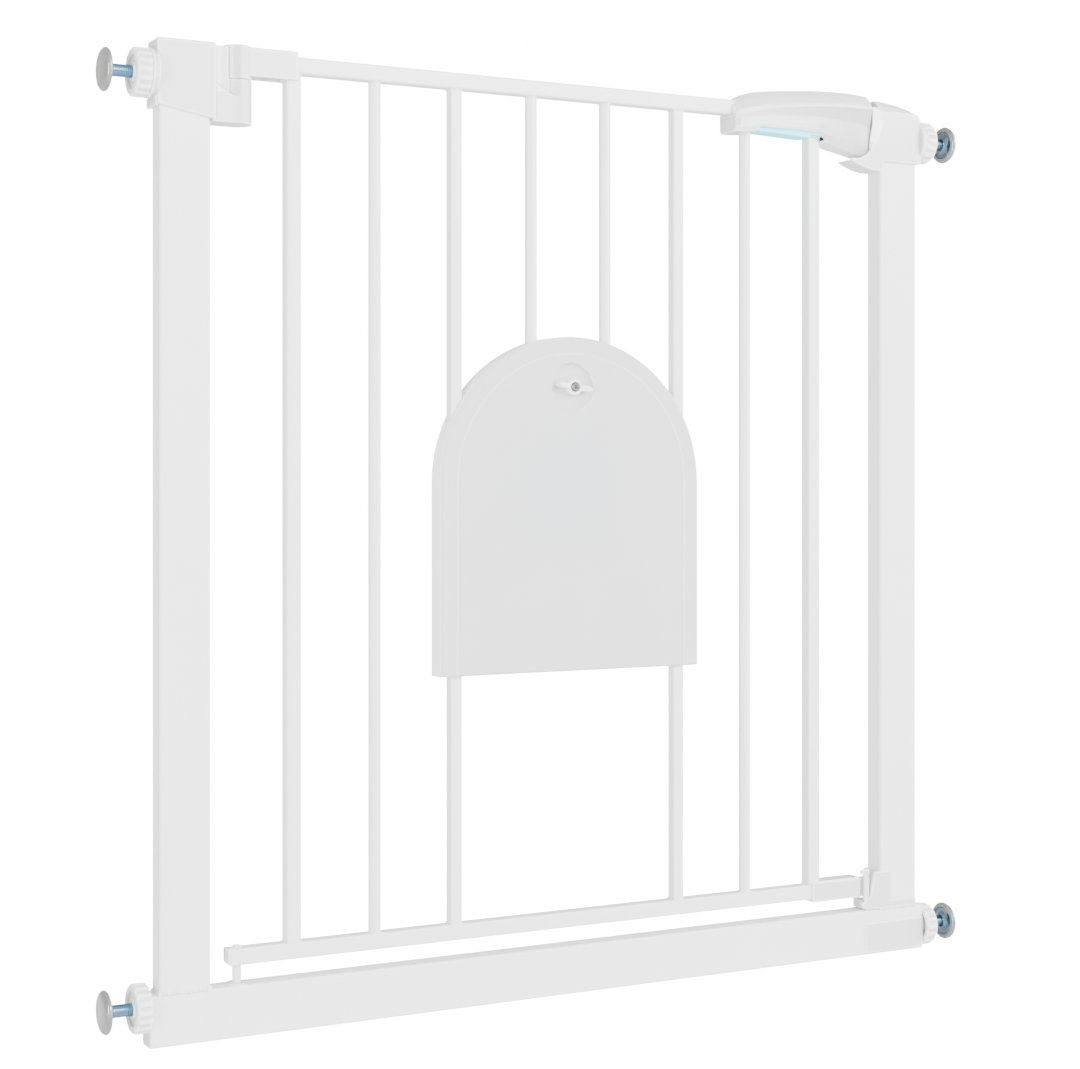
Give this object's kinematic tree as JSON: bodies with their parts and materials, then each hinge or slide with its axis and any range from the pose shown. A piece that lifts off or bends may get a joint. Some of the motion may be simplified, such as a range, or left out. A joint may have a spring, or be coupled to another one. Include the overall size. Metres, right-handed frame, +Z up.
{
  "type": "pet gate",
  "caption": "Pressure-mounted walk-through pet gate with hinged barred door, squeeze-and-lift latch, threaded wall pads and a small sliding arched pet panel.",
  "frame": {"origin": "on the floor under the middle of the gate, in the plane of its bars", "axes": "+X along the gate from the hinge side to the latch side, +Y through the gate away from the side shown, +Z up"},
  "size_m": [0.795, 0.038, 0.7718],
  "materials": {
    "frame_steel": "satin powder coat",
    "door_steel": "satin powder coat",
    "white_plastic": "fine satin grain",
    "panel_plastic": "fine satin grain",
    "wheel_nylon": "slightly translucent",
    "grey_rubber": "matte",
    "zinc_rod": "bright zinc plated",
    "button_plastic": "satin",
    "nut_plastic": "satin",
    "screw_steel": "zinc plated",
    "pin_steel": "white powder coat"
  },
  "bodies": {
    "frame": {"bottom_rail": "frame_steel", "left_post": "frame_steel", "right_post": "frame_steel", "left_rail_cap": "white_plastic", "rail_end_cover": "white_plastic", "lower_hinge_bush": "white_plastic", "hinge_housing": "white_plastic", "latch_housing": "white_plastic", "housing_screws": "screw_steel", "bottom_catch": "white_plastic"},
    "hinge_pivot": {"upper_hinge_pin": "pin_steel"},
    "door": {"hinge_arm": "white_plastic", "lower_hinge_pin": "pin_steel", "top_rail": "door_steel", "low_rail": "door_steel", "bar_1": "door_steel", "bar_2": "door_steel", "bar_3": "door_steel", "bar_4": "door_steel", "bar_5": "door_steel", "bar_6": "door_steel", "bar_7": "door_steel", "bar_8": "door_steel", "cross_bar": "door_steel", "low_rail_plug": "white_plastic", "low_rail_cap": "white_plastic", "handle_body": "white_plastic", "handle_cover": "white_plastic"},
    "latch_button": {"latch_button": "button_plastic", "button_spring": "screw_steel"},
    "latch_bolt": {"latch_bolt": "white_plastic"},
    "pet_panel": {"panel_front": "panel_plastic", "panel_back": "panel_plastic", "clamp_screw": "screw_steel"},
    "wing_nut": {"wing_nut": "nut_plastic"},
    "wheel_top_left": {"wheel_top_left": "wheel_nylon"},
    "spindle_top_left": {"rod_top_left": "zinc_rod", "pad_top_left": "grey_rubber"},
    "wheel_top_right": {"wheel_top_right": "wheel_nylon"},
    "spindle_top_right": {"rod_top_right": "zinc_rod", "pad_top_right": "grey_rubber"},
    "wheel_low_left": {"wheel_low_left": "wheel_nylon"},
    "spindle_low_left": {"rod_low_left": "zinc_rod", "pad_low_left": "grey_rubber"},
    "wheel_low_right": {"wheel_low_right": "wheel_nylon"},
    "spindle_low_right": {"rod_low_right": "zinc_rod", "pad_low_right": "grey_rubber"}
  },
  "joints": [
    {"name": "door_swing", "type": "hinge", "parent": "frame", "child": "hinge_pivot", "pos_m": [-0.29, 0, 0.4], "axis": [0, 0, 1], "range_deg": [0, 90]},
    {"name": "door_lift", "type": "slide", "parent": "hinge_pivot", "child": "door", "axis": [0, 0, 1], "range_m": [0, 0.012]},
    {"name": "button_squeeze", "type": "slide", "parent": "door", "child": "latch_button", "axis": [0, 0, 1], "range_m": [0, 0.0045], "stiffness_N_per_m": 800, "springref_m": -0.003, "deforming": ["button_spring"]},
    {"name": "latch_lift", "type": "slide", "parent": "door", "child": "latch_bolt", "axis": [0, 0, 1], "range_m": [0, 0.0045]},
    {"name": "panel_slide", "type": "slide", "parent": "door", "child": "pet_panel", "axis": [0, 0, 1], "range_m": [-0.199, 0]},
    {"name": "wing_nut_turn", "type": "hinge", "parent": "pet_panel", "child": "wing_nut", "pos_m": [0, -0.01, 0.503], "axis": [0, -1, 0], "range_deg": [0, 720]},
    {"name": "wheel_turn_top_left", "type": "hinge", "parent": "frame", "child": "wheel_top_left", "pos_m": [-0.367, 0, 0.733], "axis": [-1, 0, 0], "range_deg": [-2520, 3780]},
    {"name": "spindle_slide_top_left", "type": "slide", "parent": "frame", "child": "spindle_top_left", "axis": [-1, 0, 0], "range_m": [-0.0158, 0.0106]},
    {"name": "wheel_turn_top_right", "type": "hinge", "parent": "frame", "child": "wheel_top_right", "pos_m": [0.367, 0, 0.733], "axis": [1, 0, 0], "range_deg": [-2520, 3780]},
    {"name": "spindle_slide_top_right", "type": "slide", "parent": "frame", "child": "spindle_top_right", "axis": [1, 0, 0], "range_m": [-0.0158, 0.0106]},
    {"name": "wheel_turn_low_left", "type": "hinge", "parent": "frame", "child": "wheel_low_left", "pos_m": [-0.367, 0, 0.0295], "axis": [-1, 0, 0], "range_deg": [-2520, 3780]},
    {"name": "spindle_slide_low_left", "type": "slide", "parent": "frame", "child": "spindle_low_left", "axis": [-1, 0, 0], "range_m": [-0.0158, 0.0106]},
    {"name": "wheel_turn_low_right", "type": "hinge", "parent": "frame", "child": "wheel_low_right", "pos_m": [0.367, 0, 0.02], "axis": [1, 0, 0], "range_deg": [-2520, 3780]},
    {"name": "spindle_slide_low_right", "type": "slide", "parent": "frame", "child": "spindle_low_right", "axis": [1, 0, 0], "range_m": [-0.0158, 0.0106]}
  ],
  "couplings": [
    {"joint": "latch_lift", "follows": "button_squeeze", "ratio": 1},
    {"joint": "spindle_slide_top_left", "follows": "wheel_turn_top_left", "m_per_rad": -0.00023873},
    {"joint": "spindle_slide_top_right", "follows": "wheel_turn_top_right", "m_per_rad": -0.00023873},
    {"joint": "spindle_slide_low_left", "follows": "wheel_turn_low_left", "m_per_rad": -0.00023873},
    {"joint": "spindle_slide_low_right", "follows": "wheel_turn_low_right", "m_per_rad": -0.00023873}
  ]
}
